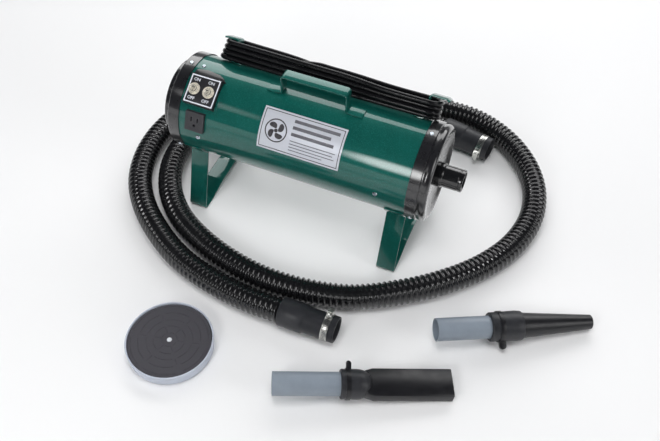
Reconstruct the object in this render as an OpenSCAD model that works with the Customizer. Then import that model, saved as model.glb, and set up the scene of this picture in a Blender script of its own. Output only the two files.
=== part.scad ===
// Pet dryer: a horizontal sheet-steel blower on two strap legs, with its hose, nozzles and spare filter.
// Millimetres. X runs along the body towards the air outlet, Y to the rear, Z up.
// The origin is on the floor, midway between the four feet and below the middle of the body.

/* [Body] */
// Outer radius of the body shell
body_r = 89; // [86:0.5:92]
// Length of the painted shell between the two end caps
shell_len = 442; // [430:2:470]
// Sheet thickness of the shell
shell_t = 1.5; // [1:0.1:2]
// Height of the body's axis above the floor
axis_z = 197; // [190:1:210]
// Width of the end caps' rims
cap_w = 20; // [16:1:24]

/* [Outlet] */
// Outer radius of the air outlet tube
outlet_r = 20.5; // [19:0.1:21.5]
// How far the outlet tube stands out of the end cap
outlet_len = 55; // [45:1:70]

/* [Handle and hooks] */
// Outer length of the handle between its two uprights
handle_len = 126; // [110:2:150]
// Height of the handle above the shell
handle_h = 42; // [36:1:50]
// Width of the handle strap
handle_w = 22; // [18:1:26]
// How far the handle, the label and the hooks sit towards the outlet
offset_x = 16; // [0:1:20]
// Distance from the handle's middle to each cord hook
hook_dx = 189; // [180:1:190]
// Height of the cord hooks above the shell
hook_h = 44; // [44:1:50]

/* [Legs] */
// Width of the leg strap
leg_w = 36; // [30:1:38]
// Distance from the body's middle to the middle of each leg
leg_x = 201; // [190:1:201]
// Half of the distance between a leg's outer foot edges
foot_y = 103; // [95:1:110]

/* [Hose and cord] */
// Outer radius of the ribbed hose
hose_r = 24; // [22:0.5:24]
// Outer radius of the mains cord
cord_r = 4.75; // [4:0.25:4.75]
// Number of turns of cord on the hooks
cord_turns = 4; // [3:1:4]

/* [Hidden] */
$fn = 64;
green = [0.06, 0.31, 0.26];
black = [0.05, 0.05, 0.055];
rubber = [0.09, 0.09, 0.1];
grey = [0.62, 0.66, 0.7];
steel = [0.75, 0.76, 0.78];
brass = [0.8, 0.65, 0.35];
pale = [0.8, 0.84, 0.9];
copper = [0.72, 0.42, 0.25];
mica = [0.75, 0.68, 0.5];

half = shell_len / 2;
inner_r = body_r - shell_t;
cap_r = body_r + 2;
cap_end = half + cap_w;
face_x = half + 25;
strap_t = 3;
screw_turn = [90, 210, 330];
body_screw_x = [-182, 166];
top_screw_a = 89;
top_screw_x = -207;

// Switches and receptacle, as angles round the body from the rear (+Y) over the top
switch_a = 122;
switch_x = -184;
switch_w = 61;
switch_h = 56;
plate_r = body_r + 7;
toggle_x = [-200, -171.5];
toggle_tilt = 12.5;
toggle_pivot_r = plate_r + 2;
receptacle_a = 158;
receptacle_x = -186.5;
receptacle_w = 37;
label_a0 = 115;
label_a1 = 164;
label_len = 157;
hook_a = 57;

// Motor and heater
motor_x0 = -80;
motor_x1 = 8;
motor_r = 45;
shaft_r = 4;
shaft_gap = 0.05;
fan_r = 66;
shroud_r = 72;
shroud_x0 = -138;
heater_x0 = 34;
heater_x1 = 150;
heater_r = 56;
coil_wire_r = 1.2;
coil_pitch = 10;

// Hose: the cuffs' places, and the route of the hose's centre line between them
cuff_len = 108;
cuff_front = [66, -275, 27.2];
cuff_front_yaw = 1;
cuff_rear = [195, 280.6, 27.2];
cuff_rear_yaw = -11;
clamp_x = 84;
clamp_w = 12.5;
clamp_turn_front = 60;
clamp_turn_rear = 178;
hose_route = [
    [96, -274.5, 27.2], [58, -275, 27], [-10, -274, 24.6], [-90, -262, 24], [-165, -239, 24],
    [-232, -201, 24], [-290, -154, 24], [-332, -100, 24], [-356, -35, 24], [-361, 35, 24],
    [-345, 105, 24],
    [-305, 168, 24], [-240, 224, 24], [-155, 263, 24], [-65, 292, 24], [30, 315, 24],
    [120, 333, 24], [190, 342, 24], [250, 338, 24], [318, 309, 24], [375, 259, 24],
    [413, 195, 24], [427, 120, 24], [413, 42, 24], [375, -30, 24], [318, -95, 24],
    [250, -150, 24], [170, -196, 24], [85, -217, 24], [0, -221, 24], [-80, -208, 24],
    [-155, -182, 24], [-218, -145, 24], [-268, -90, 24], [-297, -18, 24], [-294, 55, 24],
    [-258, 122, 24], [-192, 178, 24], [-105, 219, 24], [-10, 250, 24], [85, 275, 24.6],
    [187, 282.1, 27], [224.5, 274.9, 27.2]];

// Mains cord: from its gland up to the winding, and from the winding down to the plug
gland_a = -20;
gland_x = -150;
gland_len = 36;
lead_route = [
    [-150, 117.6, 154.2], [-148, 138, 148], [-138, 156, 147], [-123, 169, 152], [-105, 174, 162],
    [-89, 172, 176], [-76, 162, 191], [-68, 147, 207], [-65, 131, 223], [-62, 113, 238],
    [-54, 96, 251], [-41, 82, 261], [-22, 72, 268], [0, 70, 269]];
tail_route = [
    [-65, 84, 290], [-41, 87, 285], [-17, 88, 280], [8, 88, 278], [32, 87, 278],
    [57, 86, 279], [82, 87, 278], [105, 92, 273], [116, 95, 268], [126, 100, 263],
    [134, 105, 256], [142, 110, 248], [148, 114, 238], [153, 119, 228], [156, 122, 217],
    [158, 125, 205], [159, 126, 193], [159, 126, 180]];
plug_top = [159, 126, 180];
plug_len = 38;

// Nozzles and spare filter, lying on the floor
flat_pos = [236.4, -360.8, 26.5];
flat_yaw = 25.3;
flat_tilt = 5.2;
cone_pos = [444.7, -150, 29.4];
cone_yaw = 30;
cone_tilt = 5.8;
flat_t = 10.5;
filter_pos = [-90, -405, 0];
filter_r = 78;
filter_h = 26;

// Round a path's corners: each inner point becomes an arc of radius r in n steps
function unit(v) = v / norm(v);
function corner(a, b, c, r, n) =
    let (u = unit(a - b), w = unit(c - b),
        bend = acos(max(-1, min(1, u * w))),
        cut = min(r / tan(bend / 2), 0.48 * min(norm(a - b), norm(c - b))),
        p = b + u * cut, q = b + w * cut)
    [for (i = [0 : n]) let (t = i / n) (1 - t) * (1 - t) * p + 2 * t * (1 - t) * b + t * t * q];
function rounded(path, r, n = 6) = [
    path[0],
    for (i = [1 : len(path) - 2]) each corner(path[i - 1], path[i], path[i + 1], r, n),
    path[len(path) - 1]];
// Outline of a strap of thickness t along a flat path
function heading(path, i) =
    unit(path[min(i + 1, len(path) - 1)] - path[max(i - 1, 0)]);
function side_point(path, i, d) =
    let (h = heading(path, i)) path[i] + d * [-h[1], h[0]];
function strap_outline(path, t) = concat(
    [for (i = [0 : len(path) - 1]) side_point(path, i, t / 2)],
    [for (i = [len(path) - 1 : -1 : 0]) side_point(path, i, -t / 2)]);

// A round tube swept along a route as one closed polyhedron
function ring(centre, dir, up, r, n) =
    let (u = unit(cross(dir, up)), v = cross(dir, u))
    [for (i = [0 : n - 1]) centre + r * (cos(360 * i / n) * u + sin(360 * i / n) * v)];
function tube_points(route, up, r, n) = [
    for (i = [0 : len(route) - 1])
        each ring(route[i], heading(route, i), up, r, n)];
function tube_faces(rings, n) = concat(
    [[for (i = [0 : n - 1]) i]],
    [for (k = [0 : rings - 2], i = [0 : n - 1])
        [k * n + i, (k + 1) * n + i, (k + 1) * n + (i + 1) % n]],
    [for (k = [0 : rings - 2], i = [0 : n - 1])
        [k * n + i, (k + 1) * n + (i + 1) % n, k * n + (i + 1) % n]],
    [[for (i = [n - 1 : -1 : 0]) (rings - 1) * n + i]]);
module swept_tube(route, up, r, n) {
    polyhedron(tube_points(route, up, r, n), tube_faces(len(route), n), convexity = 6);
}

// Placing: the body's axis, a place round the body (its outward side is +Y), and solids along X
module on_axis() {
    translate([0, 0, axis_z]) children();
}
module round_body(angle, x = 0) {
    on_axis() translate([x, 0, 0]) rotate([angle, 0, 0]) children();
}
module rod_x(x0, x1, r) {
    translate([x0, 0, 0]) rotate([0, 90, 0]) cylinder(r = r, h = x1 - x0);
}
module ring_x(x0, x1, r_out, r_in) {
    difference() {
        rod_x(x0, x1, r_out);
        rod_x(x0 - 1, x1 + 1, r_in);
    }
}
module turned_x(outline) {
    rotate([0, 90, 0]) rotate_extrude() polygon(outline);
}
module block(x, y, z) {
    translate([x[0], y[0], z[0]]) cube([x[1] - x[0], y[1] - y[0], z[1] - z[0]]);
}
module rod_y(y0, y1, r) {
    translate([0, y0, 0]) rotate([-90, 0, 0]) cylinder(r = r, h = y1 - y0);
}

// Shell and end caps
module body_shell() {
    color(green) difference() {
        on_axis() ring_x(-half - cap_w + 3, half + cap_w - 1, body_r, inner_r);
        round_body(switch_a, switch_x) block([-26, 26], [60, 100], [-23, 23]);
        round_body(receptacle_a, receptacle_x) block([-16, 16], [60, 100], [-16, 16]);
        round_body(gland_a, gland_x) rod_y(70, 100, 8);
        for (x = body_screw_x, a = [0, 180])
            round_body(a, x) rod_y(70, 100, 2.5);
        round_body(top_screw_a, top_screw_x) rod_y(70, 100, 1.8);
        for (x = [-half - cap_w / 2, half + cap_w / 2], a = screw_turn)
            round_body(a, x) rod_y(70, 100, 2);
    }
}
module intake_cap() {
    edge = 3;
    end = cap_end + 3;
    color(black) difference() {
        on_axis() mirror([1, 0, 0]) turned_x(concat(
            [[body_r + 0.2, half], [cap_r, half], [cap_r, end - edge]],
            [for (a = [0 : 15 : 90]) [cap_r - edge + edge * cos(a), end - edge + edge * sin(a)]],
            [[62, end], [62, end - 1.5], [body_r + 0.2, end - 1.5]]));
        for (a = screw_turn)
            round_body(a, -half - cap_w / 2) rod_y(80, 100, 2);
    }
}
module outlet_cap() {
    inner_face = cap_end - 0.9;
    crest_r = 81.4;
    crest_x = half + 27;
    color(black) difference() {
        on_axis() turned_x(concat(
            [[body_r + 0.2, half], [cap_r - 1, half], [cap_r, half + 1], [cap_r, cap_end - 1],
            [cap_r - 1, cap_end], [body_r - 0.6, cap_end + 0.3]],
            [for (a = [-30 : 15 : 105]) [crest_r + 8 * cos(a), crest_x + 9 * sin(a)]],
            [[72, half + 33.2], [62, half + 30], [50, half + 27.8], [38, half + 26.5],
            [outlet_r + 0.1, face_x + 1], [outlet_r + 0.1, face_x - 0.5], [38, half + 25],
            [50, half + 26.3], [62, half + 28.4], [72, half + 31.5], [80.5, half + 33.8],
            [86.5, half + 28], [87.2, half + 23], [86.5, inner_face], [body_r + 0.2, inner_face]]));
        for (a = screw_turn)
            round_body(a, half + cap_w / 2) rod_y(80, 100, 2);
    }
}
module outlet_tube() {
    tip = face_x + outlet_len;
    color(black) on_axis() turned_x([
        [outlet_r - 2, face_x - 12], [outlet_r, face_x - 12], [outlet_r, face_x + 1],
        [outlet_r + 2, face_x + 1], [outlet_r + 2, face_x + 17], [outlet_r, face_x + 19],
        [outlet_r, tip - 9], [outlet_r - 0.6, tip - 8.5], [outlet_r - 0.6, tip - 7],
        [outlet_r, tip - 6.5], [outlet_r, tip - 0.5], [outlet_r - 0.5, tip],
        [outlet_r - 2, tip]]);
}
module pan_screw(r_seat, r_in, head, shank) {
    difference() {
        union() {
            rod_y(r_in, r_seat + 0.1, shank);
            translate([0, r_seat, 0]) rotate([-90, 0, 0]) cylinder(r1 = head, r2 = head * 0.72, h = 2);
        }
        translate([0, r_seat + 2, 0]) cube([0.9, 1.6, 4], center = true);
        translate([0, r_seat + 2, 0]) cube([4, 1.6, 0.9], center = true);
    }
}
module cap_screws() {
    color(steel) for (x = [-half - cap_w / 2, half + cap_w / 2], a = screw_turn)
        round_body(a, x) pan_screw(cap_r, inner_r - 3, 4, 1.95);
}
module body_screws() {
    color(steel) for (x = body_screw_x, a = [0, 180])
        round_body(a, x) pan_screw(body_r, inner_r - 8, 4.6, 2.4);
    color(steel) round_body(top_screw_a, top_screw_x) pan_screw(body_r, inner_r - 4, 3.6, 1.7);
}

// Handle, legs and hooks: bent strap
module handle() {
    x0 = offset_x - handle_len / 2;
    x1 = offset_x + handle_len / 2;
    low = body_r + 1.4;
    high = body_r + handle_h - strap_t / 2;
    path = rounded([[x0 - 27, low], [x0 + 1.5, low], [x0 + 1.5, high], [x1 - 1.5, high],
        [x1 - 1.5, low], [x1 + 29, low]], 6);
    color(green) on_axis() difference() {
        translate([0, handle_w / 2, 0]) rotate([90, 0, 0])
            linear_extrude(handle_w) polygon(strap_outline(path, strap_t));
        rod_x(-half, half, body_r);
    }
}
module leg(x) {
    mid_r = body_r + strap_t / 2 + 0.1;
    flange = [for (a = [204 : 4 : 228]) [mid_r * cos(a), axis_z + mid_r * sin(a)]];
    foot = strap_t / 2;
    rise = foot + 10;
    bottom = rounded([flange[len(flange) - 2], flange[len(flange) - 1],
        [-foot_y + 3, foot], [-foot_y + 33, foot], [-26, rise], [0, rise]], 7);
    front = concat([for (i = [0 : len(flange) - 3]) flange[i]], bottom);
    rear = [for (i = [len(front) - 2 : -1 : 0]) [-front[i][0], front[i][1]]];
    color(green) translate([x - leg_w / 2, 0, 0]) rotate([90, 0, 90])
        linear_extrude(leg_w) polygon(strap_outline(concat(front, rear), strap_t));
}
module left_leg() {
    leg(-leg_x);
}
module right_leg() {
    leg(leg_x);
}
module cord_hook(lean, reach, drop) {
    path = rounded([[-22, body_r + 1.4], [0, body_r + 1.4], [-lean, body_r + hook_h],
        [reach - 6, body_r + hook_h], [reach, body_r + hook_h - drop]], 4);
    color(green) difference() {
        translate([0, 0, -12.5]) linear_extrude(25) polygon(strap_outline(path, strap_t));
        rod_x(-60, 60, body_r);
    }
}
module cord_hook_left() {
    round_body(hook_a, offset_x - hook_dx) mirror([1, 0, 0]) cord_hook(9, 19, 0.5);
}
module cord_hook_right() {
    round_body(hook_a, offset_x + hook_dx) cord_hook(0, 36, 3);
}

// Controls on the front of the body
module sector(a0, a1, r) {
    polygon(concat([[0, 0]], [for (i = [0 : 8]) let (a = a0 + (a1 - a0) * i / 8)
        [r * cos(a), r * sin(a)]]));
}
module label_plate() {
    color([0.7, 0.71, 0.74]) on_axis() intersection() {
        ring_x(offset_x - label_len / 2, offset_x + label_len / 2, body_r + 0.7, body_r + 0.1);
        translate([-half, 0, 0]) rotate([90, 0, 90])
            linear_extrude(shell_len) sector(label_a0, label_a1, body_r * 1.3);
    }
}
module switch_box() {
    wall = 2.5;
    lip = [[-30, 7.5], [-30, -6], [-6, -8.6], [17, -5.5], [28, 1], [34, 7.5]];
    color(black) difference() {
        union() {
            round_body(switch_a, switch_x)
                block([-switch_w / 2, switch_w / 2], [78, plate_r - 1.4], [-switch_h / 2, switch_h / 2]);
            intersection() {
                on_axis() ring_x(switch_x - 40, switch_x + 40, body_r + 3, body_r - 2);
                round_body(100, switch_x) translate([0, 100, 0]) rotate([90, 0, 0])
                    linear_extrude(20) polygon(rounded(lip, 9));
            }
        }
        round_body(switch_a, switch_x)
            block([-switch_w / 2 + wall, switch_w / 2 - wall], [70, 120],
                [-switch_h / 2 + wall, switch_h / 2 - wall]);
        on_axis() rod_x(-half, 0, body_r);
    }
}
module switch_plate() {
    color([0.2, 0.2, 0.22]) difference() {
        round_body(switch_a, switch_x)
            block([-switch_w / 2, switch_w / 2], [plate_r - 1.4, plate_r],
                [-switch_h / 2, switch_h / 2]);
        for (x = toggle_x)
            round_body(switch_a, x) rod_y(plate_r - 3, plate_r + 1, 6.1);
    }
}
module switch_bodies() {
    color([0.12, 0.12, 0.13]) for (x = toggle_x)
        round_body(switch_a, x) difference() {
            union() {
                block([-9, 9], [60, plate_r - 1.5], [-14, 14]);
                rod_y(plate_r - 2, plate_r + 5.5, 5.9);
                for (z = [-8, 0, 8])
                    translate([0, 0, z]) block([-3, 3], [52, 60.5], [-0.4, 0.4]);
            }
            rod_y(plate_r - 6, plate_r + 6, 3.6);
            translate([0, toggle_pivot_r, 0]) rod_x(-5, 5, 1.05);
        }
}
module toggle_nuts() {
    notch = 14;
    color(steel) for (x = toggle_x)
        round_body(switch_a, x) difference() {
            union() {
                rod_y(plate_r, plate_r + 1, 11);
                rod_y(plate_r + 0.9, plate_r + 3.4, 8.5);
            }
            rod_y(plate_r - 1, plate_r + 6, 5.9);
            for (i = [0 : notch - 1])
                rotate([0, i * 360 / notch, 0]) translate([8.9, plate_r + 2.5, 0])
                    cube([1.6, 3, 1.2], center = true);
        }
}
module toggle(x) {
    color(steel) round_body(switch_a, x) translate([0, toggle_pivot_r, 0])
        rotate([toggle_tilt, 0, 0]) {
            sphere(r = 3.2);
            rod_x(-4.8, 4.8, 1);
            rotate([-90, 0, 0]) cylinder(r1 = 1.6, r2 = 2.4, h = 15);
            translate([0, 15, 0]) sphere(r = 2.4);
        }
}
module toggle_left() {
    toggle(toggle_x[0]);
}
module toggle_right() {
    toggle(toggle_x[1]);
}
module receptacle() {
    h = receptacle_w / 2;
    face = body_r + 5.5;
    color(black) difference() {
        round_body(receptacle_a, receptacle_x) {
            block([-h, h], [82, face], [-h, h]);
            block([-15, 15], [64, 82.5], [-14, 14]);
        }
        difference() {
            on_axis() rod_x(-half, 0, body_r);
            round_body(receptacle_a, receptacle_x) block([-15.5, 15.5], [50, 100], [-15.5, 15.5]);
        }
        round_body(receptacle_a, receptacle_x) {
            block([-7.5, -5.2], [face - 12, face + 1], [-9, 0]);
            block([5.2, 7.2], [face - 12, face + 1], [-8, 0]);
            translate([0, 0, 7]) rod_y(face - 12, face + 1, 2.5);
        }
    }
}

// Intake end
module intake_cover() {
    end = cap_end + 3;
    depth = 17;
    color(black) on_axis() mirror([1, 0, 0]) difference() {
        turned_x(concat(
            [[0, end + depth - 2], [69, end + depth - 2], [69, end + 0.3], [72.5, end + 0.3]],
            [for (a = [0 : 15 : 90])
                [69.5 + 3 * cos(a), end + depth - 3 + 3 * sin(a)]],
            [[0, end + depth]]));
        for (k = [1 : 4], i = [0 : 6 * k - 1])
            rotate([i * 60 / k, 0, 0]) translate([0, 14 * k, 0])
                rod_x(end + depth - 4, end + depth + 1, 4);
    }
}
module intake_foam() {
    end = cap_end + 3;
    color([0.18, 0.18, 0.19]) on_axis() mirror([1, 0, 0]) rod_x(end + 4, end + 14.9, 68.7);
}

// Motor, fan and heater
module motor_bracket() {
    ring_x0 = shroud_x0 - 5;
    color(steel) difference() {
        on_axis() {
            ring_x(ring_x0, ring_x0 + 3, 80, 50);
            for (a = [0, 180])
                rotate([a, 0, 0]) {
                    block([body_screw_x[0] - 8, ring_x0 + 3], [82, 84], [-9, 9]);
                    block([ring_x0, ring_x0 + 3], [76, 84], [-9, 9]);
                }
        }
        for (a = [0, 180])
            round_body(a, body_screw_x[0]) rod_y(70, 100, 2.5);
    }
}
module motor_can() {
    color(steel) on_axis() difference() {
        union() {
            ring_x(motor_x0, motor_x1, motor_r, motor_r - 2);
            ring_x(motor_x0 - 4, motor_x0, shroud_r - 2, 11);
            ring_x(motor_x1 - 9, motor_x1, 15, 11);
            for (a = [45, 135, 225, 315])
                rotate([a, 0, 0]) block([motor_x1 - 4, motor_x1], [14, motor_r - 1], [-5, 5]);
            ring_x(motor_x0 - 4, motor_x0 + 5, 15, 11);
        }
        for (a = [0 : 60 : 300])
            rotate([a, 0, 0]) translate([0, motor_r + 9, 0]) rod_x(motor_x0 - 5, motor_x0 + 1, 7);
        for (a = [90, 270])
            rotate([a, 0, 0]) block([-14, -2], [10, 60], [-6, 6]);
    }
}
module field_stator() {
    color([0.35, 0.33, 0.32]) on_axis() ring_x(-64, -24, motor_r - 2.3, 26);
    color(copper) on_axis() {
        ring_x(-70, -64, 38, 28);
        ring_x(-24, -18, 38, 28);
    }
}
module armature() {
    color(steel) on_axis() rod_x(shroud_x0 + 4, motor_x1 + 3, shaft_r);
    color([0.35, 0.33, 0.32]) on_axis() ring_x(-62, -26, 25, shaft_r - 0.5);
    color(copper) on_axis() {
        ring_x(-68, -61.5, 21, shaft_r - 0.5);
        ring_x(-26.5, -20, 21, shaft_r - 0.5);
        ring_x(-17, -3, 14, shaft_r - 0.5);
    }
}
module fan_impeller() {
    color(steel) on_axis() for (x = [shroud_x0 + 8, shroud_x0 + 32]) {
        difference() {
            union() {
                rod_x(x, x + 1.5, fan_r);
                ring_x(x + 13, x + 14.5, fan_r, 26);
                rod_x(x, x + 14, 9);
                for (a = [0 : 45 : 315])
                    rotate([a, 0, 0]) translate([x + 1, 27, 0]) rotate([20, 0, 0])
                        block([0, 12.5], [0, 37], [-0.6, 0.6]);
            }
            rod_x(x - 1, x + 16, shaft_r);
        }
    }
}
module fan_shroud() {
    color([0.6, 0.61, 0.63]) on_axis() {
        ring_x(shroud_x0, motor_x0 - 4, shroud_r, shroud_r - 2);
        ring_x(shroud_x0 - 2, shroud_x0, shroud_r, 30);
        ring_x(shroud_x0 + 26, shroud_x0 + 28, shroud_r - 1, 26);
    }
}
module bearing(x) {
    color(steel) on_axis() {
        ring_x(x, x + 7, 6, shaft_r + shaft_gap);
        ring_x(x, x + 7, 11, 9);
        ring_x(x + 1, x + 6, 9.2, 5.8);
    }
}
module bearing_front() {
    bearing(motor_x0 - 3);
}
module bearing_rear() {
    bearing(motor_x1 - 8);
}
module carbon_brushes() {
    color([0.15, 0.15, 0.15]) on_axis() for (a = [90, 270])
        rotate([a, 0, 0]) {
            block([-12, -4], [14.4, 36], [-4, 4]);
            block([-13.5, -2.5], [30, motor_r + 4], [-5.5, 5.5]);
        }
}
module heater_frame() {
    color(mica) on_axis() for (a = [0, 90])
        rotate([a, 0, 0]) block([heater_x0, heater_x1 + 12], [-heater_r, heater_r], [-1, 1]);
}
module heater_coils() {
    color([0.6, 0.5, 0.45]) on_axis() for (r = [heater_r - 16, heater_r - 4],
            x = [heater_x0 + 8 : coil_pitch : heater_x1 - 6])
        translate([x, 0, 0]) rotate([0, 90, 0]) rotate_extrude()
            translate([r, 0]) circle(r = coil_wire_r, $fn = 16);
}
module heater_bulkhead() {
    color(steel) difference() {
        on_axis() {
            ring_x(162, 164, 84, heater_r - 6);
            ring_x(162, 176, inner_r - 0.3, 84);
        }
        for (a = [0, 180])
            round_body(a, body_screw_x[1]) rod_y(60, 100, 2.5);
    }
}
module heat_limiter() {
    color(black) on_axis() rotate([60, 0, 0]) translate([0, 70, 0]) {
        rod_x(151, 162, 8);
        block([145, 151.5], [-4.4, -3.6], [-3, 3]);
        block([145, 151.5], [3.6, 4.4], [-3, 3]);
    }
}
module acoustic_liner() {
    color([0.2, 0.2, 0.21]) on_axis() ring_x(-135, 158, inner_r - 0.5, 79);
}

// Mains cord
module cord_gland() {
    color(black) round_body(gland_a, gland_x) difference() {
        union() {
            rod_y(82, 92, 7.8);
            rod_y(body_r + 0.3, body_r + 4, 11);
            translate([0, body_r + 3.9, 0]) rotate([-90, 0, 0])
                cylinder(r1 = 8, r2 = cord_r + 1.4, h = gland_len - 3.9);
        }
        rod_y(70, body_r + gland_len - 1, cord_r);
    }
}
module power_cord_lead() {
    color(black) swept_tube(lead_route, [1, 0, 0], cord_r, 8);
}
module power_cord_winding() {
    run = 17.5;
    low = body_r + 3.5;
    high = body_r + 3.5 + cord_turns * 2 * cord_r;
    ends = [offset_x - hook_dx - 3, offset_x + hook_dx + 3];
    color(black) round_body(hook_a) difference() {
        rod_and_ends(ends, run + cord_r, low, high);
        rod_and_ends(ends, run - cord_r, low - 1, high + 1);
    }
}
module rod_and_ends(ends, r, low, high) {
    block(ends, [low, high], [-r, r]);
    for (x = ends)
        translate([x, 0, 0]) rod_y(low, high, r);
}
module power_cord_tail() {
    color(black) swept_tube(tail_route, [0, 1, 0], cord_r, 8);
}
module power_plug() {
    prong = 17;
    color(black) translate(plug_top) {
        translate([0, 0, -14]) cylinder(r1 = 7.5, r2 = cord_r + 1, h = 14);
        translate([0, 0, -plug_len]) cylinder(r = 13.5, h = plug_len - 16);
        translate([0, 0, -17]) cylinder(r1 = 13.5, r2 = 7.5, h = 3.5);
    }
    color(brass) translate(plug_top + [0, 0, -plug_len]) {
        for (x = [-7.1, 5.6])
            block([x, x + 1.5], [-5, 1.4], [-prong, 0.5]);
        translate([0, 6.5, -prong - 2]) cylinder(r = 2.4, h = prong + 2.5);
    }
}

// Hose
module hose() {
    color(black) swept_tube(hose_route, [0, 0, 1], hose_r, 12);
}
module placed(pos, yaw) {
    translate(pos) rotate([0, 0, yaw]) children();
}
module hose_cuff() {
    color(rubber) turned_x([
        [20.6, 44], [20.6, cuff_len - 1], [21.2, cuff_len], [23.8, cuff_len],
        [24.5, cuff_len - 1], [24.5, 50], [27, 45], [27, 2], [26, 0], [24.3, 0],
        [24.3, 40]]);
}
module hose_cuff_front() {
    placed(cuff_front, cuff_front_yaw) hose_cuff();
}
module hose_cuff_rear() {
    placed(cuff_rear, cuff_rear_yaw) hose_cuff();
}
module clamp_band(turn) {
    color(steel) rotate([turn, 0, 0]) {
        ring_x(clamp_x, clamp_x + clamp_w, 25.6, 24.5);
        difference() {
            block([clamp_x + 1, clamp_x + clamp_w - 1], [25, 35.2], [-8, 8]);
            translate([clamp_x + clamp_w / 2, 30, -9]) cylinder(r = 4, h = 18);
        }
    }
}
module hose_clamp_bands() {
    placed(cuff_front, cuff_front_yaw) clamp_band(clamp_turn_front);
    placed(cuff_rear, cuff_rear_yaw) clamp_band(clamp_turn_rear);
}
module clamp_screw(turn) {
    color(steel) rotate([turn, 0, 0]) translate([clamp_x + clamp_w / 2, 30, 0]) {
        translate([0, 0, -9]) cylinder(r = 3.9, h = 17.5);
        translate([0, 0, 8.2]) cylinder(r = 4.2, h = 5, $fn = 6);
    }
}
module hose_clamp_screws() {
    placed(cuff_front, cuff_front_yaw) clamp_screw(clamp_turn_front);
    placed(cuff_rear, cuff_rear_yaw) clamp_screw(clamp_turn_rear);
}

// Flat nozzle: local X runs from the tube's end to the slot, with the cuff's middle at 0
module flat_place() {
    translate(flat_pos) rotate([0, flat_tilt, flat_yaw]) children();
}
module flat_nozzle_tube() {
    color(grey) flat_place() ring_x(-134, 9.5, outlet_r, outlet_r - 2);
}
module flat_nozzle_cuff() {
    color(rubber) flat_place() difference() {
        turned_x(concat(
            [[outlet_r + 0.05, -19], [24, -19], [25.5, -17.5], [25.5, 8]],
            [for (a = [15 : 15 : 75]) [9 + 16.5 * cos(a), 8 + 26 * sin(a)]],
            [[9, 34], [9, 16], [outlet_r + 0.05, 9.6]]));
        block([21.9, 40], [-30, 30], [-flat_t - 0.1, flat_t + 0.1]);
    }
}
module tie(r, x, w, band) {
    ring_x(x - 1, x - 1 + band, r + 1.3, r);
    block([x, x + w], [r + 0.5, r + 14 - w / 2], [-3.5, 3.5]);
    translate([x + w / 2, r + 14 - w / 2, -3.5]) cylinder(r = w / 2, h = 7);
}
module flat_nozzle_tie() {
    color(black) flat_place() rotate([38, 0, 0]) tie(25.5, -9.5, 8.6, 8);
}
module flat_nozzle_head() {
    w = 26;
    t = flat_t;
    end = 174;
    color(black) flat_place() difference() {
        union() {
            hull() {
                block([38, end], [-w, w], [-t, t - 2]);
                block([38, end], [-w + 3, w - 3], [-t, t]);
            }
            hull() {
                block([22, 23], [-21, 21], [-t, t - 2]);
                block([22, 23], [-19, 19], [-t, t]);
                block([37, 38.5], [-w, w], [-t, t - 2]);
                block([37, 38.5], [-w + 3, w - 3], [-t, t]);
            }
        }
        block([36, end + 1], [-w + 3, w - 3], [-t + 3, t - 3]);
        hull() {
            block([21, 22], [-17, 17], [-t + 3.5, t - 3.5]);
            block([36, 37], [-w + 4, w - 4], [-t + 3.5, t - 3.5]);
        }
    }
}

// Cone nozzle, set out the same way
module cone_place() {
    translate(cone_pos) rotate([0, cone_tilt, cone_yaw]) children();
}
module cone_nozzle_tube() {
    color(grey) cone_place() ring_x(-126, 10, outlet_r, outlet_r - 2);
}
module cone_nozzle_cuff() {
    color(rubber) cone_place() turned_x([
        [outlet_r + 0.05, -29], [24.5, -29], [26, -27], [26, -14], [27.2, 20], [26, 30],
        [23.6, 31], [20.3, 31], [outlet_r + 0.05, 24]]);
}
module cone_nozzle_tie() {
    color(black) cone_place() rotate([205, 0, 0]) tie(26.5, -13, 12, 8);
}
module cone_nozzle_head() {
    color(black) cone_place() turned_x([
        [20.2, 12], [20.2, 31], [23, 31.2], [13, 163], [12, 164], [10.5, 164], [18, 60],
        [17.5, 12]]);
}

// Spare filter
module spare_filter_dish() {
    color(pale) translate(filter_pos) rotate_extrude() polygon([
        [0, 0], [filter_r - 8, 0], [filter_r - 4, 1.2], [filter_r - 1.5, 4], [filter_r, filter_h - 1],
        [filter_r - 0.6, filter_h], [filter_r - 2.6, filter_h], [filter_r - 4.2, 6], [0, 6]]);
}
module spare_filter_disc() {
    color([0.22, 0.22, 0.23]) translate(filter_pos) difference() {
        translate([0, 0, 6]) cylinder(r1 = filter_r - 4.4, r2 = filter_r - 3.4, h = filter_h - 7.5);
        translate([0, 0, 5]) cylinder(r = 3.1, h = filter_h);
    }
}
module spare_filter_stud() {
    color([0.95, 0.95, 0.93]) translate(filter_pos) {
        translate([0, 0, 6]) cylinder(r = 3, h = filter_h - 7);
        translate([0, 0, filter_h - 1.5]) cylinder(r1 = 4.5, r2 = 3.5, h = 1.5);
    }
}

body_shell();
intake_cap();
outlet_cap();
outlet_tube();
cap_screws();
body_screws();
handle();
left_leg();
right_leg();
cord_hook_left();
cord_hook_right();
label_plate();
switch_box();
switch_plate();
switch_bodies();
toggle_nuts();
toggle_left();
toggle_right();
receptacle();
intake_cover();
intake_foam();
motor_bracket();
motor_can();
field_stator();
armature();
fan_impeller();
fan_shroud();
bearing_front();
bearing_rear();
carbon_brushes();
heater_frame();
heater_coils();
heater_bulkhead();
heat_limiter();
acoustic_liner();
cord_gland();
power_cord_lead();
power_cord_winding();
power_cord_tail();
power_plug();
hose();
hose_cuff_front();
hose_cuff_rear();
hose_clamp_bands();
hose_clamp_screws();
flat_nozzle_tube();
flat_nozzle_cuff();
flat_nozzle_tie();
flat_nozzle_head();
cone_nozzle_tube();
cone_nozzle_cuff();
cone_nozzle_tie();
cone_nozzle_head();
spare_filter_dish();
spare_filter_disc();
spare_filter_stud();
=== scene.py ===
import math

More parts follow.
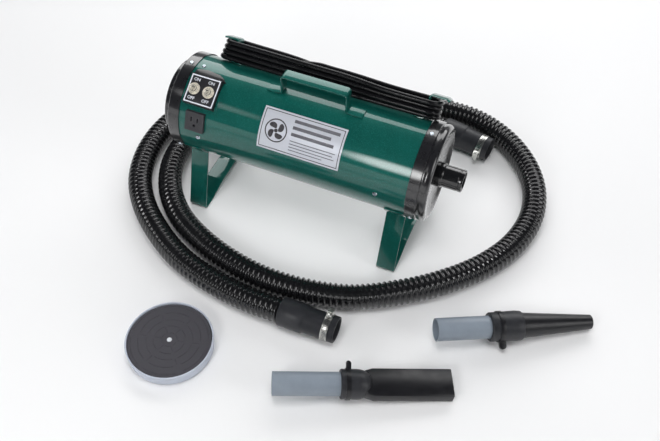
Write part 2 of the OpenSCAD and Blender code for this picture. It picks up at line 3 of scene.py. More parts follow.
import bpy
import numpy as np
from mathutils import Matrix, Vector


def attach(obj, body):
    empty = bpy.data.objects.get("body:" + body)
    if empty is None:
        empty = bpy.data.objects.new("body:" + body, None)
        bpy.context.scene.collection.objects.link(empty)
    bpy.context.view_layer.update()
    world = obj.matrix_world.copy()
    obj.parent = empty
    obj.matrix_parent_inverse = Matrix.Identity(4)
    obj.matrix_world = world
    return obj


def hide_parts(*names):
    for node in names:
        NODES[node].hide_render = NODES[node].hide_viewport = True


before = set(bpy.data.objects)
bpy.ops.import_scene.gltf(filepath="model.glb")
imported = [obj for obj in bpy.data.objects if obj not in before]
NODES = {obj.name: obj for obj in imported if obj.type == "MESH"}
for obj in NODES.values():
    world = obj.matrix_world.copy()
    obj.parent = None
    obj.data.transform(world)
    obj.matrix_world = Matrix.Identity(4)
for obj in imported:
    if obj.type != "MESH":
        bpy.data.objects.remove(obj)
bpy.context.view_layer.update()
MM = 0.001
AXIS_Z = 197.0
BODY_R = 89.0
SWITCH_ANGLE = math.radians(122)
SWITCH_X = -184
PLATE_R = 96
TOGGLES = (("left", -16.0), ("right", 12.5))
WELD = 2e-6
CUFF_FRONT = ((66, -275, 27.2), 1, 60)
CUFF_REAR = ((195, 280.6, 27.2), -11, 178)

# ---------------------------------------------------------------- camera
camera = bpy.data.objects.new("camera", bpy.data.cameras.new("camera"))
bpy.context.scene.collection.objects.link(camera)
RIGHT = Vector((0.92161, 0.38801, 0.00861)).normalized()
UP = Vector((-0.30783, 0.71729, 0.62509)).normalized()
BACK = RIGHT.cross(UP).normalized()
UP = BACK.cross(RIGHT)
camera.matrix_world = Matrix((
    (RIGHT.x, UP.x, BACK.x, 0.44972),
    (RIGHT.y, UP.y, BACK.y, -0.98770),
    (RIGHT.z, UP.z, BACK.z, 1.29395),
    (0, 0, 0, 1)))
camera.data.lens = 45.19
camera.data.sensor_width = 36
camera.data.clip_start = 0.05
camera.data.clip_end = 60
bpy.context.scene.camera = camera

# ---------------------------------------------------------------- routes, in millimetres
HOSE_ROUTE = [
    (96, -274.5, 27.2), (58, -275, 27), (-10, -274, 24.6), (-90, -262, 24), (-165, -239, 24),
    (-232, -201, 24), (-290, -154, 24), (-332, -100, 24), (-356, -35, 24), (-361, 35, 24),
    (-345, 105, 24), (-305, 168, 24), (-240, 224, 24), (-155, 263, 24), (-65, 292, 24),
    (30, 315, 24), (120, 333, 24), (190, 342, 24), (250, 338, 24), (318, 309, 24),
    (375, 259, 24), (413, 195, 24), (427, 120, 24), (413, 42, 24), (375, -30, 24),
    (318, -95, 24), (250, -150, 24), (170, -196, 24), (85, -217, 24), (0, -221, 24),
    (-80, -208, 24), (-155, -182, 24), (-218, -145, 24), (-268, -90, 24), (-297, -18, 24),
    (-294, 55, 24), (-258, 122, 24), (-192, 178, 24), (-105, 219, 24), (-10, 250, 24),
    (85, 275, 24.6), (187, 282.1, 27), (224.5, 274.9, 27.2)]
LEAD_ROUTE = [
    (-150, 117.6, 154.2), (-148, 138, 148), (-138, 156, 147), (-123, 169, 152), (-105, 174, 162),
    (-89, 172, 176), (-76, 162, 191), (-68, 147, 207), (-65, 131, 223), (-62, 113, 238),
    (-54, 96, 251), (-41, 82, 261), (-22, 72, 268)]
TAIL_ROUTE = [
    (-65, 84, 290), (-41, 87, 285), (-17, 88, 280), (8, 88, 278), (32, 87, 278), (57, 86, 279),
    (82, 87, 278), (105, 92, 273), (116, 95, 268), (126, 100, 263), (134, 105, 256),
    (142, 110, 248), (148, 114, 238), (153, 119, 228), (156, 122, 217), (158, 125, 205),
    (159, 126, 193), (159, 126, 180)]
CORD_R = 4.75
HOSE_R = 24.0
HOOK_ANGLE = math.radians(57)
TURNS = 4
FIRST_TURN = 97.25
TURN_PITCH = 9.5
LEFT_SHIFT = (0.0, 2.5, 4.6, 6.7)
RUN_HALF = 17.5
RUN_ENDS = (-176.0, 208.0)


# ---------------------------------------------------------------- mesh helpers
def link(obj):
    bpy.context.scene.collection.objects.link(obj)
    return obj


def mesh_piece(name, verts, faces, smooth=True):
    """A mesh object from vertices in millimetres."""
    data = bpy.data.meshes.new(name)
    data.from_pydata([tuple(float(c) * MM for c in v) for v in verts], [], faces)
    data.validate()
    for p in data.polygons:
        p.use_smooth = smooth
    return link(bpy.data.objects.new(name, data))


def smooth_route(points, step):
    """Even points along a centripetal Catmull-Rom curve through the given ones."""
    p = np.array(points, float)
    p = np.vstack([2 * p[0] - p[1], p, 2 * p[-1] - p[-2]])
    fine = []
    for i in range(1, len(p) - 2):
        a, b, c, d = p[i - 1:i + 3]
        ta = 0.0
        tb = ta + np.linalg.norm(b - a) ** 0.5
        tc = tb + np.linalg.norm(c - b) ** 0.5
        td = tc + np.linalg.norm(d - c) ** 0.5
        for t in np.linspace(tb, tc, 24, endpoint=False):
            x1 = (tb - t) / (tb - ta) * a + (t - ta) / (tb - ta) * b
            x2 = (tc - t) / (tc - tb) * b + (t - tb) / (tc - tb) * c
            x3 = (td - t) / (td - tc) * c + (t - tc) / (td - tc) * d
            y1 = (tc - t) / (tc - ta) * x1 + (t - ta) / (tc - ta) * x2
            y2 = (td - t) / (td - tb) * x2 + (t - tb) / (td - tb) * x3
            fine.append((tc - t) / (tc - tb) * y1 + (t - tb) / (tc - tb) * y2)
    fine.append(p[-2])
    return even(np.array(fine), step)


def even(fine, step):
    s = np.concatenate([[0], np.cumsum(np.linalg.norm(np.diff(fine, axis=0), axis=1))])
    n = max(2, int(round(s[-1] / step)))
    t = np.linspace(0, s[-1], n + 1)
    return np.stack([np.interp(t, s, fine[:, k]) for k in range(3)], 1)


def sweep_frames(path):
    """Tangents and two turning-free normals along a path."""
    tangent = np.gradient(path, axis=0)
    tangent /= np.linalg.norm(tangent, axis=1)[:, None]
    start = np.array([0, 0, 1.0]) if abs(tangent[0][2]) < 0.9 else np.array([1.0, 0, 0])
    normal = np.zeros_like(path)
    n = start - tangent[0] * (start @ tangent[0])
    for i, t in enumerate(tangent):
        n = n - t * (n @ t)
        n /= np.linalg.norm(n)
        normal[i] = n
    return tangent, normal, np.cross(tangent, normal)


def tube_piece(name, path, radius, sides):
    """A closed tube; radius is a number or a function of distance and angle arrays."""
    _, n, b = sweep_frames(path)
    s = np.concatenate([[0], np.cumsum(np.linalg.norm(np.diff(path, axis=0), axis=1))])
    a = np.arange(sides) * 2 * math.pi / sides
    ss, aa = np.meshgrid(s, a, indexing="ij")
    r = radius(ss, aa) if callable(radius) else np.full(ss.shape, float(radius))
    ring = (path[:, None, :] + r[..., None] * (np.cos(aa)[..., None] * n[:, None, :]
            + np.sin(aa)[..., None] * b[:, None, :]))
    verts = ring.reshape(-1, 3)
    faces = []
    for i in range(len(path) - 1):
        for j in range(sides):
            k = (j + 1) % sides
            faces.append((i * sides + j, i * sides + k, (i + 1) * sides + k, (i + 1) * sides + j))
    faces.append(tuple(range(sides - 1, -1, -1)))
    faces.append(tuple((len(path) - 1) * sides + j for j in range(sides)))
    return mesh_piece(name, verts, faces)


def polar(angle, r, x=0.0, z=0.0):
    """A point at an angle round the body, z sideways in that place's own plane."""
    c, s = math.cos(angle), math.sin(angle)
    return (x, r * c - z * s, AXIS_Z + r * s + z * c)


# ---------------------------------------------------------------- materials
def nodes_of(name):
    m = bpy.data.materials.new(name)
    m.use_nodes = True
    t = m.node_tree
    return m, t, t.nodes["Principled BSDF"]


def material(name, color, rough, metal=0.0, coat=0.0, coat_rough=0.05, spec=0.5,
             vary=0.12, scale=60.0, rough_vary=0.06, bump=0.05, bump_scale=400.0,
             bump_kind="noise", stretch=(1, 1, 1), dust=0.0, distance=0.0002):
    """A procedural finish: colour and roughness drift, grain in the bump, dust in the drift."""
    m, t, p = nodes_of(name)
    new, wire = t.nodes.new, t.links.new
    p.inputs["Metallic"].default_value = metal
    p.inputs["Coat Weight"].default_value = coat
    p.inputs["Coat Roughness"].default_value = coat_rough
    p.inputs["Specular IOR Level"].default_value = spec
    place = new("ShaderNodeTexCoord")
    mapping = new("ShaderNodeMapping")
    mapping.inputs["Scale"].default_value = stretch
    wire(place.outputs["Object"], mapping.inputs["Vector"])
    drift = new("ShaderNodeTexNoise")
    drift.inputs["Scale"].default_value = scale
    drift.inputs["Detail"].default_value = 6
    drift.inputs["Roughness"].default_value = 0.6
    wire(mapping.outputs["Vector"], drift.inputs["Vector"])
    ramp = new("ShaderNodeValToRGB")
    c = np.array(color, float)
    ramp.color_ramp.elements[0].position = 0.3
    ramp.color_ramp.elements[0].color = (*(c * (1 - vary)), 1)
    ramp.color_ramp.elements[1].position = 0.72
    ramp.color_ramp.elements[1].color = (*(c * (1 + vary) + dust), 1)
    wire(drift.outputs["Fac"], ramp.inputs["Fac"])
    wire(ramp.outputs["Color"], p.inputs["Base Color"])
    spread = new("ShaderNodeMapRange")
    spread.inputs["From Min"].default_value = 0.3
    spread.inputs["From Max"].default_value = 0.7
    spread.inputs["To Min"].default_value = max(0.02, rough - rough_vary)
    spread.inputs["To Max"].default_value = min(1.0, rough + rough_vary)
    wire(drift.outputs["Fac"], spread.inputs["Value"])
    wire(spread.outputs["Result"], p.inputs["Roughness"])
    if bump_kind == "voronoi":
        grain = new("ShaderNodeTexVoronoi")
        height = grain.outputs["Distance"]
    else:
        grain = new("ShaderNodeTexNoise")
        grain.inputs["Detail"].default_value = 4
        height = grain.outputs["Fac"]
    grain.inputs["Scale"].default_value = bump_scale
    wire(mapping.outputs["Vector"], grain.inputs["Vector"])
    relief = new("ShaderNodeBump")
    relief.inputs["Strength"].default_value = bump
    relief.inputs["Distance"].default_value = distance
    wire(height, relief.inputs["Height"])
    wire(relief.outputs["Normal"], p.inputs["Normal"])
    return m


def flake_paint(name, color, flake):
    """Metallic gloss enamel: fine flakes under a clear coat."""
    m = material(name, color, 0.40, metal=0.25, coat=1.0, coat_rough=0.035, spec=0.12,
                 vary=0.10, scale=22, rough_vary=0.04, bump=0.02, bump_scale=90,
                 distance=0.0004)
    t = m.node_tree
    p = t.nodes["Principled BSDF"]
    new, wire = t.nodes.new, t.links.new
    place = new("ShaderNodeTexCoord")
    cells = new("ShaderNodeTexVoronoi")
    cells.inputs["Scale"].default_value = 1500
    wire(place.outputs["Object"], cells.inputs["Vector"])
    pick = new("ShaderNodeSeparateColor")
    wire(cells.outputs["Color"], pick.inputs["Color"])
    keep = new("ShaderNodeMapRange")
    keep.inputs["From Min"].default_value = 0.80
    keep.inputs["From Max"].default_value = 1.0
    keep.inputs["To Max"].default_value = 0.55
    wire(pick.outputs["Red"], keep.inputs["Value"])
    mix = new("ShaderNodeMix")
    mix.data_type = "RGBA"
    base = p.inputs["Base Color"].links[0].from_socket
    wire(keep.outputs["Result"], mix.inputs["Factor"])
    wire(base, mix.inputs[6])
    mix.inputs[7].default_value = (*flake, 1)
    wire(mix.outputs[2], p.inputs["Base Color"])
    return m


GREEN = flake_paint("green_enamel", (0.003, 0.098, 0.079), (0.03, 0.25, 0.22))
BLACK_ENAMEL = material("black_enamel", (0.010, 0.010, 0.012), 0.3, coat=1.0, coat_rough=0.05,
                        vary=0.15, bump=0.03, bump_scale=120, distance=0.0003)
BLACK_TUBE = material("black_tube", (0.006, 0.006, 0.007), 0.22, coat=0.8, coat_rough=0.04,
                      vary=0.2, bump=0.02, bump_scale=200)
ZINC = material("zinc", (0.62, 0.68, 0.74), 0.24, metal=1.0, vary=0.1, scale=250,
                rough_vary=0.08, bump=0.08, bump_scale=1800)
NICKEL = material("nickel", (0.82, 0.77, 0.66), 0.30, metal=0.3, vary=0.08, scale=300,
                  rough_vary=0.08, bump=0.08, bump_scale=1500)
FOIL = material("label_foil", (0.60, 0.62, 0.68), 0.34, metal=0.15, vary=0.05, scale=40,
                rough_vary=0.04, bump=0.05, bump_scale=700, stretch=(0.1, 1, 1))
INK = material("label_ink", (0.055, 0.052, 0.058), 0.4, vary=0.15, scale=150, bump=0.02)
INK_SOFT = material("label_ink_soft", (0.16, 0.16, 0.18), 0.4, vary=0.12, scale=150, bump=0.02)
PLATE = material("switch_face", (0.028, 0.027, 0.032), 0.34, metal=0.2, coat=0.3, vary=0.12,
                 bump=0.05, bump_scale=900)
WHITE_INK = material("white_print", (0.80, 0.83, 0.90), 0.5, vary=0.05, scale=300, bump=0.03)
MOULDING = material("switch_moulding", (0.012, 0.012, 0.014), 0.3, coat=0.3, vary=0.2,
                    bump=0.08, bump_scale=900)
NYLON = material("receptacle_nylon", (0.032, 0.032, 0.037), 0.42, vary=0.12, bump=0.10,
                 bump_scale=1200)
CORD = material("cord_jacket", (0.005, 0.005, 0.006), 0.26, coat=0.05, coat_rough=0.08,
                spec=0.28, vary=0.2, scale=40, rough_vary=0.04, bump=0.02, bump_scale=300,
                distance=0.0001)
HOSE_VINYL = material("hose_vinyl", (0.008, 0.008, 0.009), 0.20, coat=0.5, coat_rough=0.06,
                      vary=0.3, scale=120, rough_vary=0.06, bump=0.05, bump_scale=800)
RUBBER = material("cuff_rubber", (0.020, 0.021, 0.025), 0.46, vary=0.18, scale=90,
                  rough_vary=0.08, bump=0.14, bump_scale=900, dust=0.004)
STAINLESS = material("stainless", (0.60, 0.60, 0.57), 0.3, metal=1.0, vary=0.12, scale=160,
                     rough_vary=0.08, bump=0.12, bump_scale=900, stretch=(6, 1, 1))
# Clamp slot strips: a dark grey that is painted shade for the pressed recesses of the slots.
SLOT_SHADE = material("clamp_slot_shade", (0.05, 0.05, 0.05), 0.5, metal=0.6, vary=0.2, bump=0.05)
GREY_PVC = material("grey_pvc", (0.235, 0.275, 0.325), 0.42, vary=0.05, scale=60,
                    rough_vary=0.05, bump=0.05, bump_scale=700)
NOZZLE = material("nozzle_black", (0.007, 0.007, 0.009), 0.40, coat=0.06, coat_rough=0.25,
                  vary=0.2, scale=70, rough_vary=0.07, bump=0.10, bump_scale=900)
FILTER_PALE = material("filter_pale", (0.53, 0.57, 0.66), 0.4, vary=0.04, scale=30,
                       bump=0.05, bump_scale=500)
FILTER_DISC = material("filter_disc", (0.062, 0.060, 0.070), 0.72, vary=0.10, scale=500,
                       rough_vary=0.08, bump=0.5, bump_scale=1600, distance=0.0003)
STUD = material("filter_stud", (0.78, 0.80, 0.84), 0.3, vary=0.04, bump=0.03)
FOAM = material("foam", (0.02, 0.02, 0.021), 0.9, vary=0.3, scale=500, bump=0.9,
                bump_scale=700, bump_kind="voronoi", distance=0.001)
GALVANISED = material("galvanised_steel", (0.55, 0.56, 0.58), 0.38, metal=1.0, vary=0.14,
                      scale=90, bump=0.06, bump_kind="voronoi", bump_scale=120)
IRON = material("motor_iron", (0.16, 0.15, 0.14), 0.5, metal=0.8, vary=0.2, bump=0.2,
                bump_scale=700, stretch=(8, 1, 1))
ALUMINIUM = material("fan_aluminium", (0.68, 0.69, 0.71), 0.32, metal=1.0, vary=0.08,
                     bump=0.08, bump_scale=900)
BEARING = material("bearing_steel", (0.62, 0.63, 0.66), 0.2, metal=1.0, vary=0.06, bump=0.04)
CARBON = material("carbon", (0.03, 0.03, 0.03), 0.6, vary=0.2, bump=0.2)
MICA = material("mica", (0.50, 0.43, 0.30), 0.5, vary=0.18, scale=120, bump=0.12,
                bump_scale=300)
WIRE = material("heater_wire", (0.34, 0.28, 0.24), 0.45, metal=0.9, vary=0.25, scale=200,
                bump=0.1)

CAD_LOOKS = {
    "body_shell": GREEN, "handle": GREEN, "left_leg": GREEN, "right_leg": GREEN,
    "cord_hook_left": GREEN, "cord_hook_right": GREEN,
    "intake_cap": BLACK_ENAMEL, "outlet_cap": BLACK_ENAMEL, "intake_cover": BLACK_ENAMEL,
    "outlet_tube": BLACK_TUBE, "cap_screws": ZINC, "body_screws": ZINC,
    "label_plate": FOIL, "switch_box": MOULDING, "switch_bodies": MOULDING,
    "heat_limiter": MOULDING, "switch_plate": PLATE, "toggle_nuts": NICKEL,
    "toggle_left": NICKEL, "toggle_right": NICKEL, "receptacle": NYLON,
    "intake_foam": FOAM, "acoustic_liner": FOAM, "motor_bracket": GALVANISED,
    "motor_can": GALVANISED, "heater_bulkhead": GALVANISED, "field_stator": IRON,
    "armature": IRON, "fan_impeller": ALUMINIUM, "fan_shroud": ALUMINIUM,
    "bearing_front": BEARING, "bearing_rear": BEARING, "carbon_brushes": CARBON,
    "heater_frame": MICA, "heater_coils": WIRE, "cord_gland": RUBBER, "power_plug": RUBBER,
    "hose_cuff_front": RUBBER, "hose_cuff_rear": RUBBER, "hose_clamp_bands": STAINLESS,
    "hose_clamp_screws": STAINLESS, "flat_nozzle_tube": GREY_PVC, "cone_nozzle_tube": GREY_PVC,
    "flat_nozzle_cuff": RUBBER, "cone_nozzle_cuff": RUBBER, "flat_nozzle_tie": NOZZLE,
    "cone_nozzle_tie": NOZZLE, "flat_nozzle_head": NOZZLE, "cone_nozzle_head": NOZZLE,
    "spare_filter_dish": FILTER_PALE, "spare_filter_stud": STUD}
BEVELS = {
    "handle": 0.5, "left_leg": 0.6, "right_leg": 0.6, "cord_hook_left": 0.5,
    "cord_hook_right": 0.5, "switch_box": 0.6, "switch_plate": 0.4, "receptacle": 0.8,
    "outlet_tube": 0.3, "hose_cuff_front": 0.6, "hose_cuff_rear": 0.6, "hose_clamp_bands": 0.3,
    "hose_clamp_screws": 0.4, "flat_nozzle_tube": 0.4, "cone_nozzle_tube": 0.4,
    "flat_nozzle_cuff": 0.6, "cone_nozzle_cuff": 0.6, "flat_nozzle_tie": 0.4,
    "cone_nozzle_tie": 0.4, "power_plug": 0.8, "cap_screws": 0.15, "body_screws": 0.15,
    "toggle_nuts": 0.2, "spare_filter_dish": 0.5, "spare_filter_stud": 0.4,
    "flat_nozzle_head": 0.8}


def dress(name, mat):
    """Gives a CAD node its finish, with welded, bevelled and smoothly shaded edges."""
    obj = NODES[name]
    obj.data.materials.clear()
    obj.data.materials.append(mat)
    for p in obj.data.polygons:
        p.use_smooth = True
        p.material_index = 0
    weld = obj.modifiers.new("weld", "WELD")
    weld.merge_threshold = WELD
    if name in BEVELS:
        bevel = obj.modifiers.new("bevel", "BEVEL")
        bevel.width = BEVELS[name] * MM
        bevel.segments = 2
        bevel.limit_method = "ANGLE"
        bevel.angle_limit = math.radians(40)
        bevel.use_clamp_overlap = True
    split = obj.modifiers.new("split", "EDGE_SPLIT")
    split.split_angle = math.radians(38)
    return obj


def piece(obj, mat, body, slot, *replaced):
    obj.data.materials.clear()
    obj.data.materials.append(mat)
    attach(obj, body)
    if replaced:
        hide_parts(*replaced)
    return obj


for node_name, look in CAD_LOOKS.items():
    dress(node_name, look)

# ---------------------------------------------------------------- hose
RIB_PITCH = 10.5
RIB_DEPTH = 3.4


def rib_radius(s, a):
    """A rounded helical rib that stands on a slightly hollow wall."""
    phase = (s / RIB_PITCH - a / (2 * math.pi)) % 1.0
    u = (phase - 0.5) / 0.31
    rib = np.sqrt(np.clip(1 - u * u, 0, 1))
    wall = 0.10 * np.cos(2 * math.pi * (phase - 0.5)) ** 2
    return HOSE_R - RIB_DEPTH + RIB_DEPTH * np.maximum(rib, wall)


hose_path = smooth_route(HOSE_ROUTE, RIB_PITCH / 8)
hose = piece(tube_piece("ribbed_hose", hose_path, rib_radius, 30), HOSE_VINYL, "dryer",
             "hose_vinyl", "hose")

# ---------------------------------------------------------------- mains cord
OUT = np.array([0, math.cos(HOOK_ANGLE), math.sin(HOOK_ANGLE)])
SIDE = np.array([0, -math.sin(HOOK_ANGLE), math.cos(HOOK_ANGLE)])
CENTRE = np.array([0, 0, AXIS_Z])


def wound(x, r, s):
    return CENTRE + np.array([x, 0, 0]) + r * OUT + s * SIDE


def smoothstep(t):
    t = min(1.0, max(0.0, t))
    return t * t * (3 - 2 * t)


def turn_place(x, turn):
    """Height over the body and sideways spread of a turn; the turns nest towards the right."""
    nest = smoothstep((x - 40) / 110)
    radius = FIRST_TURN + TURN_PITCH * (1 - 0.14 * nest) * turn
    return radius, 4.85 * nest * (turn % 2)


def run_point(x, turn, side, before=None):
    """A point on a straight run, with the sag and wander that a hand-wound cord has."""
    u = (2 * x - RUN_ENDS[0] - RUN_ENDS[1]) / (RUN_ENDS[1] - RUN_ENDS[0])
    slack = max(0.0, 1 - u * u)
    radius, spread = turn_place(x, turn)
    if before is not None:
        low, low_spread = turn_place(x, before)
        t = smoothstep((x + 75) / 65)
        radius, spread = low + (radius - low) * t, low_spread + (spread - low_spread) * t
    wander = 0.7 * slack * math.sin(3.1 * u + 1.9 * turn + (0.8 if side > 0 else 2.3))
    return wound(x, radius - 1.2 * slack, side * (RUN_HALF + spread - 1.0 * slack) + wander)


def loop(x, turn, side):
    """The half turn round a hook; side 1 is the right hook, -1 the left one."""
    radius, spread = turn_place(x, turn)
    wide = RUN_HALF + spread
    return [wound(x + side * RUN_HALF * math.cos(a), radius, side * wide * math.sin(a))
            for a in (-math.pi / 2 + math.pi * i / 8 for i in range(9))]


def winding_route():
    """From the lead's arrival at the rear, through four turns, to where the tail leaves."""
    pts = []
    left, right = RUN_ENDS
    for k in range(TURNS):
        if k == 0:
            pts += [run_point(x, 0, -1) for x in range(0, int(right), 26)]
        else:
            pts += [run_point(left + (right - left) * i / 14, k, -1, k - 1)
                    for i in range(1, 14)]
        pts += loop(right, k, 1)
        pts += [run_point(right - (right - left) * i / 14, k, 1) for i in range(1, 14)]
        pts += loop(left + LEFT_SHIFT[k], k, -1)
    pts += [run_point(x, TURNS - 1, -1) for x in (-150, -120, -92)]
    return pts


cord_route = [np.array(q, float) for q in LEAD_ROUTE] + winding_route() + \
    [np.array(q, float) for q in TAIL_ROUTE]
cord_path = smooth_route(cord_route, 3.0)
cord = piece(tube_piece("mains_cord", cord_path, CORD_R, 14), CORD, "dryer", "cord_jacket",
             "power_cord_lead", "power_cord_winding", "power_cord_tail")


# ---------------------------------------------------------------- thin prints and trims
def box_mesh(verts, faces, origin, ax, ay, az, lo, hi):
    """Adds a box to a mesh; ax, ay and az are the box's own axes."""
    base = len(verts)
    for i in range(8):
        c = [(lo, hi)[(i >> k) & 1][k] for k in range(3)]
        verts.append(tuple(origin[j] + c[0] * ax[j] + c[1] * ay[j] + c[2] * az[j]
                           for j in range(3)))
    for f in ((0, 2, 3, 1), (4, 5, 7, 6), (0, 1, 5, 4), (2, 6, 7, 3), (0, 4, 6, 2), (1, 3, 7, 5)):
        faces.append(tuple(base + i for i in f))


def on_switch_plate(x, up, out):
    """A point on the switch plate: up is towards the top of the body."""
    return polar(SWITCH_ANGLE, PLATE_R + out, SWITCH_X + x, -up)


def plate_axes():
    c, s = math.cos(SWITCH_ANGLE), math.sin(SWITCH_ANGLE)
    return ((1, 0, 0), (0, s, -c), (0, c, s))


def border_piece(name, half_x, half_y, width):
    verts, faces = [], []
    ax, ay, az = plate_axes()
    o = on_switch_plate(0, 0, 0)
    t0, t1 = 0.0, 0.25
    box_mesh(verts, faces, o, ax, ay, az, (-half_x, half_y - width, t0), (half_x, half_y, t1))
    box_mesh(verts, faces, o, ax, ay, az, (-half_x, -half_y, t0), (half_x, -half_y + width, t1))
    for sx in (-1, 1):
        x0, x1 = sorted((sx * half_x, sx * (half_x - width)))
        box_mesh(verts, faces, o, ax, ay, az, (x0, -half_y + width, t0), (x1, half_y - width, t1))
    return mesh_piece(name, verts, faces, smooth=False)


piece(border_piece("switch_border", 28.6, 26.2, 2.3), WHITE_INK, "dryer", "switch_face")


def word(name, text, x, up, height):
    curve = bpy.data.curves.new(name + "_curve", "FONT")
    curve.body = text
    curve.size = height * MM * 1.42
    curve.extrude = 0.0001
    curve.offset = 0.00012
    curve.align_x, curve.align_y = "CENTER", "CENTER"
    made = link(bpy.data.objects.new(name + "_text", curve))
    bpy.context.view_layer.update()
    data = bpy.data.meshes.new_from_object(made.evaluated_get(
        bpy.context.evaluated_depsgraph_get()))
    bpy.data.objects.remove(made)
    ax, ay, az = plate_axes()
    o = on_switch_plate(x, up, 0.12)
    data.transform(Matrix((
        (ax[0], ay[0], az[0], o[0] * MM), (ax[1], ay[1], az[1], o[1] * MM),
        (ax[2], ay[2], az[2], o[2] * MM), (0, 0, 0, 1))))
    return link(bpy.data.objects.new(name, data))


for label, tx in TOGGLES:
    piece(word("switch_on_" + label, "ON", tx, 17.5, 5.6), WHITE_INK, "dryer", "switch_face")
    piece(word("switch_off_" + label, "OFF", tx, -17.5, 5.6), WHITE_INK, "dryer", "switch_face")


def curved_patch(verts, faces, x0, x1, a0, a1, r, thick=0.32):
    """Adds a thin raised patch that follows the shell; angles in degrees."""
    n = max(2, int(abs(a1 - a0) / 2))
    base = len(verts)
    for i in range(n + 1):
        a = math.radians(a0 + (a1 - a0) * i / n)
        for rr in (r, r + thick):
            for x in (x0, x1):
                verts.append(polar(a, rr, x))
    for i in range(n):
        p, q = base + 4 * i, base + 4 * (i + 1)
        for u, v in ((0, 1), (1, 3), (3, 2), (2, 0)):
            faces.append((p + u, q + u, q + v, p + v))
    faces.append((base, base + 1, base + 3, base + 2))
    end = base + 4 * n
    faces.append((end, end + 2, end + 3, end + 1))


LABEL_R = 89.6
LABEL_T = 0.32
LABEL_X = (-62.5, 94.5)
LABEL_A = (115.0, 164.0)


def label_border():
    verts, faces = [], []
    x0, x1 = LABEL_X[0] + 3.2, LABEL_X[1] - 3.2
    a0, a1 = LABEL_A[0] + 2.2, LABEL_A[1] - 2.2
    line = 1.3
    turn = math.degrees(line / BODY_R)
    curved_patch(verts, faces, x0, x1, a0, a0 + turn, LABEL_R)
    curved_patch(verts, faces, x0, x1, a1 - turn, a1, LABEL_R)
    curved_patch(verts, faces, x0, x0 + line, a0 + turn, a1 - turn, LABEL_R)
    curved_patch(verts, faces, x1 - line, x1, a0 + turn, a1 - turn, LABEL_R)
    return mesh_piece("label_border", verts, faces)


piece(label_border(), INK, "dryer", "label_foil")


def label_fan_symbol():
    """A plain four-blade fan in a ring, drawn round the shell."""
    verts, faces = [], []
    cx, ca, radius = -31.0, 139.5, 21.0

    def at(px, py, r):
        return polar(math.radians(ca) - py / BODY_R, r, cx + px)

    def strip(inner, outer):
        n = len(inner)
        base = len(verts)
        for p, q in zip(inner, outer):
            for r in (LABEL_R, LABEL_R + LABEL_T):
                verts.append(at(*p, r))
                verts.append(at(*q, r))
        for i in range(n - 1):
            a, b = base + 4 * i, base + 4 * (i + 1)
            faces.append((a + 2, b + 2, b + 3, a + 3))
            faces.append((a + 1, a + 3, b + 3, b + 1))
            faces.append((a, b, b + 2, a + 2))

    ring = [i * 2 * math.pi / 64 for i in range(65)]
    strip([((radius - 2.2) * math.cos(t), (radius - 2.2) * math.sin(t)) for t in ring],
          [(radius * math.cos(t), radius * math.sin(t)) for t in ring])
    strip([(0.0, 0.0) for t in ring], [(3.4 * math.cos(t), 3.4 * math.sin(t)) for t in ring])
    for k in range(4):
        turn = k * math.pi / 2 + 0.3
        inner, outer = [], []
        for i in range(13):
            f = i / 12
            r = 4.4 + 12.6 * f
            mid = turn + 0.55 * f
            half = 0.12 + 0.42 * math.sin(math.pi * min(1, 0.15 + 0.85 * f)) ** 0.7
            inner.append((r * math.cos(mid - half), r * math.sin(mid - half)))
            outer.append((r * math.cos(mid + half), r * math.sin(mid + half)))
        strip(inner, outer)
    return mesh_piece("label_symbol", verts, faces)


piece(label_fan_symbol(), INK, "dryer", "label_foil")


def label_lines():
    """Plain bars in place of printed lines."""
    verts, faces = [], []
    rows = [(121.5, 5.6, -2, 84), (129.0, 5.6, -2, 70), (136.5, 5.6, -2, 78)]
    for a, h, x0, x1 in rows:
        curved_patch(verts, faces, x0, x1, a, a + math.degrees(h / BODY_R), LABEL_R)
    return mesh_piece("label_bars", verts, faces)


def label_small_lines():
    verts, faces = [], []
    for i, (x0, x1) in enumerate(((-2, 84), (-2, 80), (-2, 84), (-2, 62))):
        a = 145.5 + 3.6 * i
        curved_patch(verts, faces, x0, x1, a, a + 0.9, LABEL_R)
    return mesh_piece("label_rules", verts, faces)


piece(label_lines(), INK_SOFT, "dryer", "label_foil")
piece(label_small_lines(), INK_SOFT, "dryer", "label_foil")


# ---------------------------------------------------------------- switch bushings
def bushing(name, x):
    """A threaded nickel sleeve round the toggle, standing through its nut."""
    profile = [(3.62, 0.3)] + [(5.95 if i % 2 else 5.66, 0.3 + 0.42 * i) for i in range(12)]
    profile += [(5.6, 5.4), (5.2, 5.62), (3.9, 5.62), (3.62, 5.4)]
    ax, ay, az = plate_axes()
    o = on_switch_plate(x, 0, 0)
    sides = 40
    verts, faces = [], []
    for r, h in profile:
        for j in range(sides):
            a = 2 * math.pi * j / sides
            c, s = r * math.cos(a), r * math.sin(a)
            verts.append(tuple(o[k] + c * ax[k] + s * ay[k] + h * az[k] for k in range(3)))
    n = len(profile)
    for i in range(n):
        for j in range(sides):
            k = (j + 1) % sides
            m = (i + 1) % n
            faces.append((i * sides + j, i * sides + k, m * sides + k, m * sides + j))
    return mesh_piece(name, verts, faces)


for label, tx in TOGGLES:
    piece(bushing("toggle_bushing_" + label, tx), NICKEL, "dryer", "nickel")


